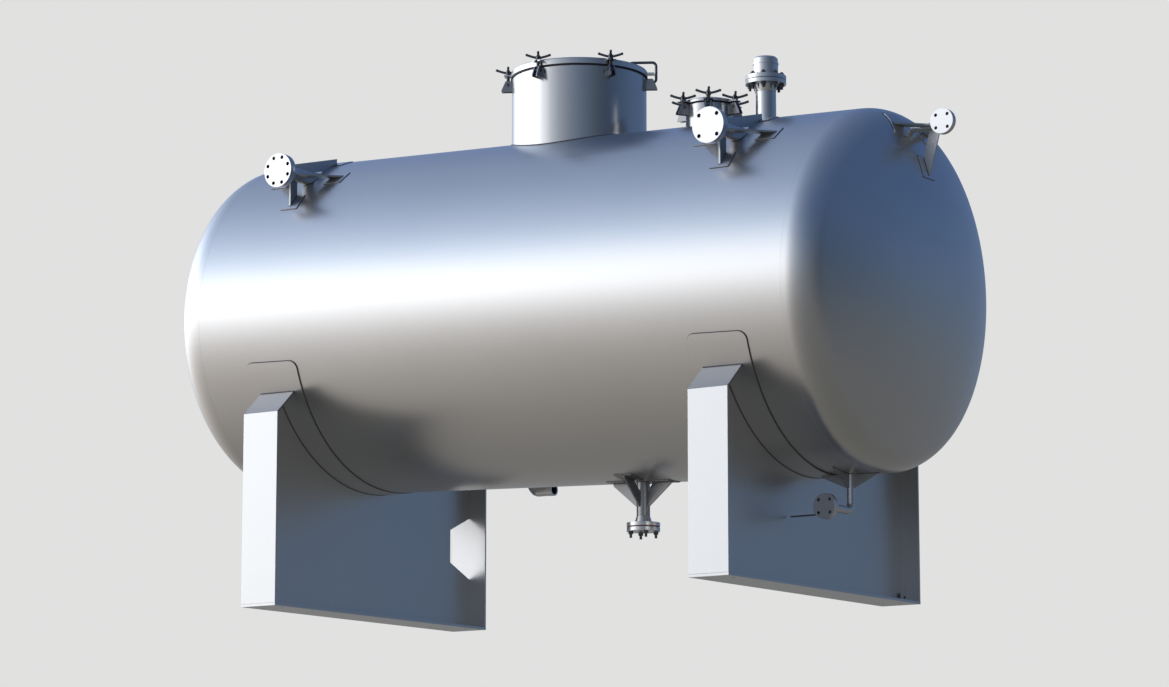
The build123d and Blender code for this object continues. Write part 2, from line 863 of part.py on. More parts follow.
save(end_braces, "end_nozzle_braces")


def hanging_braces(name, x, pipe_radius, half, bottom, nose, pads):
    """Four sloping flat bars round a pipe that hangs from the underside of the shell."""
    height = axis_height_at(x)
    with BuildPart() as plates:
        for plane, middle, drop in (
            (Plane.XZ, x, shell_radius),
            (Plane.YZ.offset(x), 0, sqrt(shell_radius**2 - half**2)),
        ):
            bar = brace_bar(pipe_radius, bottom, half, height - drop - nose)
            with BuildSketch(plane):
                for sign in (-1, 1):
                    with BuildLine():
                        Polyline(*[(middle + sign * out, z) for out, z in bar], close=True)
                    make_face()
            extrude(amount=brace_plate / 2, both=True)
        with BuildSketch(Plane.XY):
            with Locations((x, 0)):
                Circle(pipe_radius)
        extrude(amount=height, mode=Mode.SUBTRACT)
        add(envelope, mode=Mode.SUBTRACT)
        add(pads, mode=Mode.SUBTRACT)
    save(plates, name)


# Drain on the underside
flange(
    "drain_flange",
    Plane(origin=(drain_x, 0, drain_flange_top - drain_flange), z_dir=(0, 0, -1)),
    drain_flange_radius,
    drain_flange,
    drain_hub,
    drain_hub_radius,
    drain_pipe_radius,
    drain_pipe_wall,
    blank=False,
)
drain_start = drain_flange_top + drain_hub
straight_pipe(
    "drain_pipe",
    Plane(origin=(drain_x, 0, drain_start), z_dir=(0, 0, 1)),
    axis_height - drain_start,
    drain_pipe_radius,
    drain_pipe_wall,
)
drain_turn = asin(drain_foot / shell_radius)
drain_feet = foot_pads(
    "drain_pads",
    [
        shell_foot(drain_x - drain_foot, -pi / 2),
        shell_foot(drain_x + drain_foot, -pi / 2),
        shell_foot(drain_x, -pi / 2 - drain_turn),
        shell_foot(drain_x, -pi / 2 + drain_turn),
    ],
)
hanging_braces(
    "drain_braces",
    drain_x,
    drain_pipe_radius,
    drain_brace_half,
    drain_brace_bottom,
    drain_brace_nose,
    drain_feet,
)
with BuildPart() as drain_seal:
    with BuildSketch(Plane.XY.offset(drain_flange_top - drain_flange)):
        with Locations((drain_x, 0)):
            Circle(drain_gasket_radius)
            Circle(drain_pipe_radius - drain_pipe_wall, mode=Mode.SUBTRACT)
    extrude(amount=-drain_gasket)
save(drain_seal, "drain_gasket")
with BuildPart() as drain_cover:
    with BuildSketch(Plane.XY.offset(drain_flange_top - drain_flange - drain_gasket)):
        with Locations((drain_x, 0)):
            Circle(drain_flange_radius)
    extrude(amount=-drain_flange)
save(drain_cover, "drain_cover")

# Outlet with an elbow and a lever valve
outlet_face = Plane(origin=(outlet_x, outlet_face_y, outlet_z), x_dir=(1, 0, 0), z_dir=(0, -1, 0))
flange("outlet_flange", outlet_face, *small_sizes, holes=small_holes)
valve_front = outlet_face_y + small_flange + small_hub
valve_back = valve_front + valve_length
bent_pipe(
    "outlet_pipe",
    [(outlet_x, 0, axis_height), (outlet_x, 0, outlet_z), (outlet_x, valve_back, outlet_z)],
    small_bend,
    small_pipe_radius,
    small_pipe_wall,
)
hanging_braces(
    "outlet_braces",
    outlet_x,
    small_pipe_radius,
    outlet_brace_half,
    outlet_brace_bottom,
    outlet_brace_nose,
    saddle_pads["right"],
)
with BuildPart() as outlet_valve:
    with BuildSketch(outlet_face.offset(outlet_face_y - valve_back)):
        Circle(valve_radius)
        Circle(small_pipe_radius - small_pipe_wall, mode=Mode.SUBTRACT)
    extrude(amount=valve_length)
    rims = outlet_valve.edges().filter_by(GeomType.CIRCLE).group_by(SortBy.RADIUS)[-1]
    chamfer(rims, valve_edge)
save(outlet_valve, "outlet_valve")
with BuildPart() as outlet_lever:
    lever_y = valve_front + lever_setback
    lever_top = outlet_z - valve_radius - lever_stem
    with BuildSketch(Plane.XY.offset(lever_top)):
        with Locations((outlet_x, lever_y)):
            Circle(lever_stem_radius)
    extrude(amount=outlet_z - lever_top)
    with BuildSketch(outlet_face):
        Circle(valve_radius)
    extrude(amount=outlet_face_y, mode=Mode.SUBTRACT)
    with BuildSketch(Plane.XY.offset(lever_top)):
        with Locations((outlet_x - lever_length / 2, lever_y)):
            SlotOverall(lever_length + 2 * lever_width, lever_width)
    extrude(amount=-lever_plate)
save(outlet_lever, "outlet_lever")

# Small outlet behind the middle of the underside
bent_pipe(
    "rear_outlet_pipe",
    [(rear_x, rear_y, axis_height), (rear_x, rear_y, rear_z), (rear_x + rear_leg, rear_y, rear_z)],
    rear_bend,
    rear_pipe_radius,
    rear_pipe_wall,
)
with BuildPart() as rear_socket_piece:
    with BuildSketch(Plane(origin=(rear_x + rear_leg, rear_y, rear_z), z_dir=(1, 0, 0))):
        Circle(rear_socket_radius)
        Circle(rear_socket_bore, mode=Mode.SUBTRACT)
    extrude(amount=rear_socket)
save(rear_socket_piece, "rear_outlet_socket")

# Safety vent
flange(
    "vent_flange",
    Plane(origin=(vent_x, 0, vent_flange_bottom + vent_flange), z_dir=(0, 0, 1)),
    vent_flange_radius,
    vent_flange,
    vent_hub,
    vent_hub_radius,
    vent_pipe_radius,
    vent_pipe_wall,
    blank=False,
)
straight_pipe(
    "vent_pipe",
    Plane(origin=(vent_x, 0, vent_flange_bottom - vent_hub), z_dir=(0, 0, -1)),
    vent_flange_bottom - vent_hub - axis_height,
    vent_pipe_radius,
    vent_pipe_wall,
)
with BuildPart() as vent_seal:
    with BuildSketch(Plane.XY.offset(vent_flange_bottom + vent_flange)):
        with Locations((vent_x, 0)):
            Circle(vent_gasket_radius)
            Circle(vent_pipe_radius - vent_pipe_wall, mode=Mode.SUBTRACT)
    extrude(amount=vent_gasket)
save(vent_seal, "vent_gasket")
with BuildPart() as vent_valve:
    level = vent_flange_bottom + vent_flange + vent_gasket
    steps = (
        (vent_flange_radius, vent_flange),
        (vent_body_radius, vent_body_height),
        (vent_rim_radius, vent_rim),
        (vent_cap_radius, vent_cap_height),
    )
    for radius, height in steps:
        with BuildSketch(Plane.XY.offset(level)):
            with Locations((vent_x, 0)):
                Circle(radius)
        extrude(amount=height)
        level += height
    chamfer(vent_valve.faces().sort_by(Axis.Z)[-1].edges(), vent_cap_edge)
    with BuildSketch(Plane.XY.offset(vent_flange_bottom + vent_flange + vent_gasket)):
        with Locations((vent_x, 0)):
            Circle(vent_pipe_radius - vent_pipe_wall)
    extrude(amount=level - vent_roof - vent_flange_bottom - vent_flange - vent_gasket, mode=Mode.SUBTRACT)
save(vent_valve, "vent_valve")
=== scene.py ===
# %% [markdown]
# # A pressure tank on two saddles
# The tank is a stainless steel vessel that lies on two welded saddles, with a clamped manway, a hand
# hole and small flanged branches. Its solids come ready from a CAD model. This script dresses them:
# it sets up the camera and a studio, gives every plate its finish, and adds the small things that
# a welder and a fitter add, such as weld beads, bolts and star handles.

# %% Load the solids
import json
import math

import bmesh
import bpy
from mathutils import Matrix, Vector


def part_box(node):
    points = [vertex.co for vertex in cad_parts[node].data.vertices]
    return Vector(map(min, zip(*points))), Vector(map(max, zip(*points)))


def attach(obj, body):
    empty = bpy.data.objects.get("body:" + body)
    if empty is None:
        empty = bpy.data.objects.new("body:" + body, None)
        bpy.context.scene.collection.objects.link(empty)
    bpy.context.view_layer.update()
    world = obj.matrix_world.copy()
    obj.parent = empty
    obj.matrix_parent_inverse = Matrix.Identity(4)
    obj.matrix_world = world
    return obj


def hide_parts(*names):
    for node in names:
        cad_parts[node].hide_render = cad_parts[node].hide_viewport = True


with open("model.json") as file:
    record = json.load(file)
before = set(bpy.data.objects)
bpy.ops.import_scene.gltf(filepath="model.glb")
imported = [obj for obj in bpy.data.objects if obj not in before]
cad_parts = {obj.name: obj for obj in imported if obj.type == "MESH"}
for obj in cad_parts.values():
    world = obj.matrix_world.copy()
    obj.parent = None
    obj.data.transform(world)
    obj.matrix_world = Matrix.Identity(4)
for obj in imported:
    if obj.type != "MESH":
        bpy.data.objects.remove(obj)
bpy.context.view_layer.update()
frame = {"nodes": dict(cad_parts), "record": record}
nodes = frame["nodes"]

# %% [markdown]
# ## Camera
# The tank was seen from slightly below its floor, from the front and right, with a long lens. A long
# lens keeps the two saddles nearly the same size. The camera is placed first, because every later
# decision on detail depends on what it sees.

# %% Camera
camera = bpy.data.objects.new("camera", bpy.data.cameras.new("camera"))
camera.data.lens = 111.32
camera.data.sensor_width = 36
camera.data.clip_end = 200
camera.location = (11.6716, -16.9329, -1.8717)
camera.rotation_euler = (math.radians(90 + 9.35), 0, math.radians(34.494))
bpy.context.scene.collection.objects.link(camera)
bpy.context.scene.camera = camera
bpy.context.scene.view_settings.view_transform = "Standard"

# %% [markdown]
# ## Shader maths as plain sums
# A node tree is hard to read as code, so one small class wraps a node's output. Adding or
# multiplying two wrapped outputs makes the Math node, and `node` makes any other node from its type,
# its settings and the values or links of its sockets.


# %% A wrapper for sockets
class Sock:
    def __init__(self, tree, socket):
        self.tree, self.socket = tree, socket

    def math(self, operation, *others):
        inputs = dict(enumerate((self, *others)))
        return node(self.tree, "ShaderNodeMath", {"operation": operation}, inputs)

    def __add__(self, other):
        return self.math("ADD", other)

    def __sub__(self, other):
        return self.math("SUBTRACT", other)

    def __mul__(self, other):
        return self.math("MULTIPLY", other)

    def __rsub__(self, other):
        return (self * -1).math("ADD", other)

    def __truediv__(self, other):
        return self.math("DIVIDE", other)

    def clamped(self):
        return self.math("MAXIMUM", 0.0).math("MINIMUM", 1.0)


def node(tree, kind, settings=None, inputs=None, output=0):
    """Makes a node and returns its output.

    Settings come first, since they decide which sockets there are.
    """
    made = tree.nodes.new(kind)
    for key, value in (settings or {}).items():
        if key == "stops":
            ramp = made.color_ramp
            while len(ramp.elements) < len(value):
                ramp.elements.new(1)
            for element, (place, colour) in zip(ramp.elements, value):
                element.position, element.color = place, (*colour, 1)
        else:
            setattr(made, key, value)
    for key, value in (inputs or {}).items():
        if isinstance(value, Sock):
            tree.links.new(value.socket, made.inputs[key])
        else:
            made.inputs[key].default_value = value
    return Sock(tree, made.outputs[output]) if made.outputs else made


def mix(tree, share, first, second, blend="MIX"):
    """Mixes two colours by a share of the second."""
    settings = {"data_type": "RGBA", "blend_type": blend}
    return node(tree, "ShaderNodeMix", settings, {0: share, 6: first, 7: second}, output=2)


def clean_tree(owner):
    owner.use_nodes = True
    owner.node_tree.nodes.clear()
    return owner.node_tree


# %% [markdown]
# ## Studio
# Bare steel has hardly any colour of its own: it shows the room. The room here is a soft studio with
# a tall white wall of light at the left, a bluish ceiling, a dark blue wall at the right and a warm
# grey floor. It could be built from lamps and boards, but a world made of two ramps, one for each
# side and both running from floor to ceiling, is smoother and simple to tune. A ramp holds no colour
# above 1, so the ramps are divided by the room's strength. The camera itself sees only a plain pale
# backdrop.

# %% World
STRENGTH = 3.0
BACKDROP = (0.752, 0.752, 0.748, 1)
world = bpy.data.worlds.new("studio")
bpy.context.scene.world = world
tree = clean_tree(world)
direction = node(tree, "ShaderNodeTexCoord", output=0)
x, y, z = (node(tree, "ShaderNodeSeparateXYZ", inputs={0: direction}, output=i) for i in range(3))


def ramp(along, stops, strength=1.0):
    """A ramp of colours over one measure of a direction, which runs from -1 to 1."""
    spread = [(0.5 + 0.5 * place, tuple(c / strength for c in colour)) for place, colour in stops]
    return node(tree, "ShaderNodeValToRGB", {"stops": spread}, {0: along * 0.5 + 0.5})


left_wall = ramp(
    z,
    [
        (-1, (0.48, 0.44, 0.4)),
        (-0.5, (0.62, 0.575, 0.53)),
        (-0.36, (0.72, 0.67, 0.625)),
        (-0.19, (0.93, 0.89, 0.85)),
        (0.0, (1.5, 1.5, 1.5)),
        (0.15, (2.4, 2.4, 2.4)),
        (0.35, (2.2, 2.3, 2.4)),
        (0.52, (1.4, 1.65, 2.0)),
        (0.67, (1.1, 1.3, 1.65)),
        (1, (1.0, 1.15, 1.6)),
    ],
    STRENGTH,
)
right_wall = ramp(
    z,
    [
        (-1, (0.16, 0.16, 0.145)),
        (-0.25, (0.18, 0.182, 0.185)),
        (0.0, (0.152, 0.19, 0.235)),
        (0.22, (0.115, 0.185, 0.33)),
        (0.4, (0.08, 0.145, 0.29)),
        (0.6, (0.065, 0.118, 0.25)),
        (1, (0.1, 0.165, 0.29)),
    ],
    STRENGTH,
)

# %% [markdown]
# The white wall stands at the left and a little in front. How much of a direction is white and how
# much is blue depends on how far it turns to that wall. Behind the tank the left side is blue above
# the floor.

# %% From the left wall to the right one
leftness = x * -0.94 + y * -0.342
SHARES = (
    (-1, 0.0),
    (-0.36, 0.02),
    (-0.14, 0.05),
    (0.1, 0.1),
    (0.34, 0.19),
    (0.56, 0.34),
    (0.77, 0.72),
    (0.86, 1.0),
)
share = ramp(leftness, [(place, (level,) * 3) for place, level in SHARES])
BEHIND_FROM, BEHIND_OVER = 0.35, 0.45
behind = ((y - BEHIND_FROM) / BEHIND_OVER).clamped()
overhead = (z * 4.0).clamped()
left_side = mix(tree, behind * overhead, left_wall, (0.2, 0.283, 0.567, 1))

# %% [markdown]
# At eye level the right wall isn't one even blue: it is warmer and lighter in front, darkest at the
# side and plain behind. That tint fades out above and below, so that the belly and the top of the
# tank keep the plain wall.

# %% The tint of the right wall
EYE_LEVEL = 0.12
near_level = (1.25 - (z - EYE_LEVEL).math("ABSOLUTE") * 2.8).clamped()
right_tint = ramp(
    y,
    [
        (-1, (1.25, 1.1, 0.95)),
        (-0.75, (1.15, 1.02, 0.88)),
        (-0.57, (0.86, 0.77, 0.63)),
        (-0.36, (0.6, 0.52, 0.41)),
        (-0.12, (0.47, 0.48, 0.48)),
        (0.42, (0.82, 0.84, 0.84)),
        (0.7, (0.95, 1.0, 1.02)),
        (1, (1, 1, 1)),
    ],
)
right_side = mix(tree, near_level, right_wall, right_tint, "MULTIPLY")
room = mix(tree, share, right_side, left_side)
lit = node(tree, "ShaderNodeBackground", inputs={0: room, 1: STRENGTH})
plain = node(tree, "ShaderNodeBackground", inputs={0: BACKDROP, 1: 1.0})
seen = node(tree, "ShaderNodeLightPath", output=0)
surface = node(tree, "ShaderNodeMixShader", inputs={0: seen, 1: lit, 2: plain})
node(tree, "ShaderNodeOutputWorld", inputs={0: surface})

# %% [markdown]
# ## Floor
# The floor is a plain pale slab just under the saddles. The main camera looks up from below floor
# level, so a normal slab would hide the tank. A one-way slab solves it: its back face is clear. It
# is also kept out of the reflections, because the steel was seen hanging free in the studio.

# %% Floor
FLOOR_HALF = 40
FLOOR_DROP = 0.002
bm = bmesh.new()
bmesh.ops.create_grid(bm, x_segments=1, y_segments=1, size=FLOOR_HALF)
bmesh.ops.translate(bm, verts=bm.verts, vec=(0, 0, -FLOOR_DROP))
floor_mesh = bpy.data.meshes.new("floor")
bm.to_mesh(floor_mesh)
bm.free()
floor = bpy.data.objects.new("floor", floor_mesh)
bpy.context.scene.collection.objects.link(floor)
floor.visible_diffuse = floor.visible_glossy = floor.visible_transmission = floor.visible_shadow = False

floor_paint = bpy.data.materials.new("pale floor")
tree = clean_tree(floor_paint)
slab = node(tree, "ShaderNodeBsdfDiffuse", inputs={0: (0.72, 0.72, 0.715, 1)})
clear = node(tree, "ShaderNodeBsdfTransparent")
from_below = node(tree, "ShaderNodeNewGeometry", output=6)
surface = node(tree, "ShaderNodeMixShader", inputs={0: from_below, 1: slab, 2: clear})
node(tree, "ShaderNodeOutputMaterial", inputs={0: surface})
floor_mesh.materials.append(floor_paint)

# %% [markdown]
# ## Steel finishes
# All the plates are stainless steel, but each was worked in another way. Rolled shell sheet has a
# satin ground face with fine lines, pipes are smoother, flanges are turned on a lathe, and cut
# plate is pickled and dull. One function makes them all, because they differ only in colour,
# roughness and grain. The grain is noise that is stretched along the grinding direction and used
# as a bump of a few hundredths of a millimetre. Slow noise varies the roughness, as handling does.


# %% Functions for the finishes
SPECK_SCALE = 95.0
PATCH_SCALE = 1.6


def noise(tree, place, scale, detail):
    return node(tree, "ShaderNodeTexNoise", inputs={"Vector": place, "Scale": scale, "Detail": detail})


def tinted(tree, colour, shade):
    """A colour times a grey shade."""
    grey = node(tree, "ShaderNodeCombineXYZ", inputs={0: shade, 1: shade, 2: shade})
    return mix(tree, 1.0, (*colour, 1), grey, "MULTIPLY")


def finished(material, tree, inputs):
    finish = node(tree, "ShaderNodeBsdfPrincipled", inputs=inputs)
    node(tree, "ShaderNodeOutputMaterial", inputs={0: finish})
    return material


def steel(name, colour, rough, stretch, grain=420.0, depth=0.00006, cloud=0.06):
    """A ground steel. The lines run along the axis with the small stretch, and depth is in metres."""
    material = bpy.data.materials.new(name)
    tree = clean_tree(material)
    place = node(tree, "ShaderNodeTexCoord", output=3)
    drawn = node(tree, "ShaderNodeMapping", inputs={0: place, 3: stretch})
    lines = noise(tree, drawn, grain, 2.0)
    specks = noise(tree, place, SPECK_SCALE, 3.0)
    patches = noise(tree, place, PATCH_SCALE, 4.0)
    shade = (patches - 0.5) * cloud + (specks - 0.5) * (cloud * 0.7) + 1.0
    inputs = {
        "Base Color": tinted(tree, colour, shade),
        "Metallic": 1.0,
        "Roughness": (patches - 0.5) * 0.08 + (lines - 0.5) * 0.06 + rough,
        "Normal": node(tree, "ShaderNodeBump", inputs={"Strength": 0.6, "Distance": depth, "Height": lines}),
    }
    return finished(material, tree, inputs)


def rubber(name, colour):
    material = bpy.data.materials.new(name)
    tree = clean_tree(material)
    place = node(tree, "ShaderNodeTexCoord", output=3)
    grain = noise(tree, place, 160.0, 3.0)
    inputs = {
        "Base Color": tinted(tree, colour, (grain - 0.5) * 0.4 + 1.0),
        "Roughness": (grain - 0.5) * 0.2 + 0.7,
        "Normal": node(tree, "ShaderNodeBump", inputs={"Strength": 0.3, "Distance": 0.0004, "Height": grain}),
    }
    return finished(material, tree, inputs)


# %% [markdown]
# The colours are what each metal reflects, so most dark ones are cast or mill-finished. Two are darker
# for painted shade: the drain's pipe, braces and pads are darker than the other branches, as they were
# seen, which is painted shade for their place under the belly, and the caps get a darker steel than
# the saddle plates, which is painted shade on their up-sloping faces.

# %% The finishes
sheet = steel("satin vessel sheet", (0.62, 0.62, 0.625), 0.3, (0.06, 1, 1))
tube = steel("drawn pipe", (0.62, 0.622, 0.63), 0.27, (1, 1, 0.06), depth=0.00004)
turned = steel("turned flange", (0.66, 0.66, 0.665), 0.3, (1, 0.1, 1), depth=0.00004)
cut_plate = steel("cut plate", (0.45, 0.455, 0.465), 0.38, (0.3, 0.3, 1), grain=300.0)
# Painted shade: a darker steel for the caps, for how light falls on their up-sloping faces.
cap_sheet = steel("cap steel with painted shade", (0.36, 0.36, 0.375), 0.34, (1, 0.1, 1))
pickled = steel("pickled saddle plate", (0.6, 0.605, 0.615), 0.36, (1, 1, 0.08), cloud=0.09)
neck_sheet = steel("polished neck", (0.52, 0.522, 0.53), 0.22, (1, 1, 0.06), depth=0.00004)
fork_plate = steel("fork plate", (0.34, 0.342, 0.35), 0.34, (1, 1, 1), grain=260.0)
cast = steel("cast clamp", (0.14, 0.142, 0.15), 0.36, (1, 1, 1), grain=260.0, depth=0.00012)
weld_metal = steel("weld metal", (0.15, 0.147, 0.15), 0.55, (1, 1, 1), grain=190.0, depth=0.0005)
# Painted shade: darker copies of the cut plate and the drawn pipe, for the drain under the belly.
dull_plate = steel("drain plate with painted shade", (0.27, 0.272, 0.28), 0.42, (0.3, 0.3, 1), grain=300.0)
dull_tube = steel("drain pipe with painted shade", (0.3, 0.302, 0.31), 0.36, (1, 1, 0.06), depth=0.00004)
black_rubber = rubber("black gasket", (0.012, 0.012, 0.013))
red_rubber = rubber("red gasket", (0.19, 0.018, 0.02))

finishes = {
    "vessel_steel": sheet,
    "pipe_steel": tube,
    "flange_steel": turned,
    "plate_steel": cut_plate,
    "clamp_steel": cast,
    "saddle_steel": pickled,
    "seal": black_rubber,
    "red_seal": red_rubber,
}
slots = {row["node"]: row["material_slot"] for row in frame["record"]["subparts"]}
special = {"drain_pipe": dull_tube, "drain_braces": dull_plate, "drain_pads": dull_plate}
special |= {name: cap_sheet for name in nodes if name.endswith("_cap")}
special |= {name: neck_sheet for name in nodes if name.endswith("_neck")}
for name, solid in nodes.items():
    solid.data.materials.clear()
    solid.data.materials.append(special.get(name, finishes[slots[name]]))
print("finished", len(nodes), "solids with", len(finishes), "finishes")

# %% [markdown]
# ## Tools for added pieces
# Every added piece goes through one function, which names it, gives it a finish and fixes it to the
# tank. Round things such as studs, ball tips and washers come from a half outline that is spun round
# an axis, and nuts from a six-sided cone. `aim` places such a shape: it turns its Z to a direction.
# Several shapes share one mesh, so each is tagged once it is in place, and the next leaves it alone.


# %% Pieces, lathe and nuts
MM = 0.001
SMOOTH_UNDER = math.radians(32)
MERGE = 1e-5


def add_piece(bm, name, slot, replaced=()):
    mesh = bpy.data.meshes.new(name)
    bmesh.ops.recalc_face_normals(bm, faces=bm.faces)
    bm.to_mesh(mesh)
    bm.free()
    mesh.polygons.foreach_set("use_smooth", [True] * len(mesh.polygons))
    mesh.set_sharp_from_angle(angle=SMOOTH_UNDER)
    made = bpy.data.objects.new(name, mesh)
    bpy.context.scene.collection.objects.link(made)
    ground = name == "shell_seam_welds"
    bead = name.endswith("welds") and not ground
    mesh.materials.append(weld_metal if bead else finishes[slot])
    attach(made, "root")
    if replaced:
        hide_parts(*replaced)
    return made


def merged(solid):
    """A copy of a solid whose faces share their corners."""
    bm = bmesh.new()
    bm.from_mesh(solid.data)
    bmesh.ops.remove_doubles(bm, verts=bm.verts, dist=MERGE)
    return bm


def aim(place, towards=(0, 0, 1)):
    turn = Vector((0, 0, 1)).rotation_difference(Vector(towards))
    return Matrix.Translation(place) @ turn.to_matrix().to_4x4()


def tag_all(bm):
    for face in bm.faces:
        face.tag = True


def lathe(bm, outline, matrix, steps=24):
    """Spins an outline of (radius, height) in millimetres, which starts and ends on the axis."""
    corners = [bm.verts.new((r * MM, 0, h * MM)) for r, h in outline]
    edges = [bm.edges.new(pair) for pair in zip(corners, corners[1:])]
    bmesh.ops.spin(
        bm,
        geom=corners + edges,
        cent=(0, 0, 0),
        axis=(0, 0, 1),
        angle=math.tau,
        steps=steps,
        use_merge=True,
    )
    shape = set(corners) | {v for face in bm.faces for v in face.verts if not face.tag}
    bmesh.ops.transform(bm, matrix=matrix, verts=list(shape))
    tag_all(bm)
    bmesh.ops.remove_doubles(bm, verts=list(shape), dist=1e-6)


def nut(bm, matrix, across, height, ease=0.1):
    """A six-sided nut or bolt head, with its corners eased at both ends. Sizes are in millimetres."""
    radius = across / math.sqrt(3) * MM
    lift = Matrix.Translation((0, 0, height / 2 * MM))
    made = bmesh.ops.create_cone(
        bm,
        cap_ends=True,
        segments=6,
        radius1=radius,
        radius2=radius,
        depth=height * MM,
        matrix=matrix @ lift,
    )
    ends = {face for v in made["verts"] for face in v.link_faces if len(face.verts) == 6}
    rims = {edge for face in ends for edge in face.edges}
    bmesh.ops.bevel(
        bm,
        geom=list(rims),
        offset=across * ease * MM,
        segments=2,
        profile=0.5,
        affect="EDGES",
        material=-1,
    )
    tag_all(bm)


def threaded(radius, bottom, top, pitch=2.5):
    """The outline of a threaded stud with a chamfered end."""
    outline = [(0, bottom), (radius - 1, bottom), (radius, bottom + 1)]
    turns = int((top - bottom - 2) / pitch)
    for turn in range(turns):
        level = bottom + 1 + turn * pitch
        for share, depth in ((0.3, 0), (0.6, 1), (0.9, 0)):
            outline.append((radius - depth, level + share * pitch))
    return outline + [(radius, top - 1), (radius - 1, top), (0, top)]


def ring_places(centre, radius, count, start):
    """Points on a level circle."""
    for turn in range(count):
        angle = math.radians(start + 360 / count * turn)
        yield Vector(centre) + Vector((math.cos(angle), math.sin(angle), 0)) * radius


# %% [markdown]
# ## Eased edges
# Cut and turned steel never has a perfectly sharp edge, and a thin bright line along each edge is what
# shows its thickness. Each solid here is replaced by a merged copy with its sharp edges bevelled. The
# closed flanges are a pair, a flange and its cover in one solid, so a fine groove round the rim marks
# their joint.


# %% A merged copy with bevelled edges
FLAT_UNDER = math.radians(0.6)
SHARP_OVER = math.radians(40)
GROOVE_HALF = 1 * MM
GROOVE_DEPTH = 3 * MM


def eased(name, width, groove=None):
    """Replaces a node. The width of the bevel is in millimetres, the groove a centre and a radius."""
    bm = merged(nodes[name])
    bmesh.ops.dissolve_limit(bm, angle_limit=FLAT_UNDER, verts=bm.verts, edges=bm.edges)
    sharp = [e for e in bm.edges if len(e.link_faces) == 2 and e.calc_face_angle() > SHARP_OVER]
    bmesh.ops.bevel(
        bm,
        geom=sharp,
        offset=width * MM,
        segments=2,
        profile=0.5,
        affect="EDGES",
        material=-1,
        clamp_overlap=True,
    )
    if groove:
        middle, radius = groove
        across = Vector((0, 1, 0))
        for shift in (-GROOVE_HALF, 0, GROOVE_HALF):
            bmesh.ops.bisect_plane(
                bm,
                geom=bm.verts[:] + bm.edges[:] + bm.faces[:],
                dist=1e-6,
                plane_co=middle + across * shift,
                plane_no=across,
            )
        for v in bm.verts:
            reach = v.co - middle
            if abs(reach.y) < MERGE and reach.length > radius - 2 * MM:
                v.co -= reach.normalized() * GROOVE_DEPTH
    made = add_piece(bm, f"{name}_eased", slots[name], (name,))
    made.data.materials[0] = nodes[name].data.materials[0]
    flat = made.modifiers.new("flat faces stay flat", "WEIGHTED_NORMAL")
    flat.keep_sharp = True
    flat.weight = 100
    return made


PLATE_EASE = 1.5
RIM_EASE = 1.2
NECK_EASE = 0.6
saddle_plates = [f"{side}_saddle_{part}" for side in ("left", "right") for part in ("base", "front", "back")]
for name in saddle_plates + ["vent_flange", "drain_flange", "drain_cover", "earthing_lug"]:
    eased(name, PLATE_EASE)

# %% [markdown]
# The bolt holes of the closed flanges are empty. They get a dark sleeve, painted shade that stands in
# for the shade deep in the holes, so that they read as deep holes from afar. Its wall is thin, and it
# ends short of both faces.

# %% Closed flanges and the painted-shade sleeves in their holes
bores = bmesh.new()
for name, radius, thick, circle, count, hole in (
    ("left_inlet_flange", 100, 44, 80, 8, 11),
    ("right_inlet_flange", 100, 44, 80, 4, 11),
    ("end_nozzle_flange", 70, 35, 50, 4, 9),
    ("outlet_flange", 70, 35, 50, 4, 9),
):
    low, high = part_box(name)
    face = Vector(((low[0] + high[0]) / 2, low[1], (low[2] + high[2]) / 2))
    eased(name, RIM_EASE, (face + Vector((0, thick / 2 * MM, 0)), radius * MM))
    outer, inner = hole - 0.1, hole - 0.6
    lining = [(outer, 2), (inner, 3), (inner, thick - 3), (outer, thick - 2), (outer, 2)]
    for turn in range(count):
        angle = math.radians(360 / count * (turn + 0.5))
        place = face + Vector((circle * math.cos(angle) * MM, 0, circle * math.sin(angle) * MM))
        lathe(bores, lining, aim(place, (0, 1, 0)))
add_piece(bores, "flange_bore_shade", "clamp_steel")

# %% [markdown]
# The dished ends come with stored normals that are wrong in one point, the pole. A merged copy without
# them is smooth all over.

# %% Ends that are smooth at the pole
for name in ("left_end", "right_end"):
    joined = add_piece(merged(nodes[name]), f"{name}_joined", slots[name], (name,)).data
    joined.attributes.remove(joined.attributes["custom_normal"])

# %% [markdown]
# The forks of the swing clamps are cut from thick plate, which is darker than the polished necks they
# are welded to. A neck and its forks are one solid, so the copy gets a second finish on all that
# stands outside the neck.

# %% Necks with dark forks
for name, x, radius in (("manway_neck", 0, 392), ("hand_hole_neck", 0.9, 136.5)):
    neck = eased(name, NECK_EASE)
    neck.data.materials.append(fork_plate)
    for face in neck.data.polygons:
        if math.hypot(face.center.x - x, face.center.y) > (radius + 1.5) * MM:
            face.material_index = 1

# %% [markdown]
# ## Bolts
# The vent has a ring of studs through both of its flanges, with a nut and a washer at each side. The
# studs of the drain are screwed into its upper flange and stand out below its cover, as they were
# seen. The other flanges were seen without bolts.

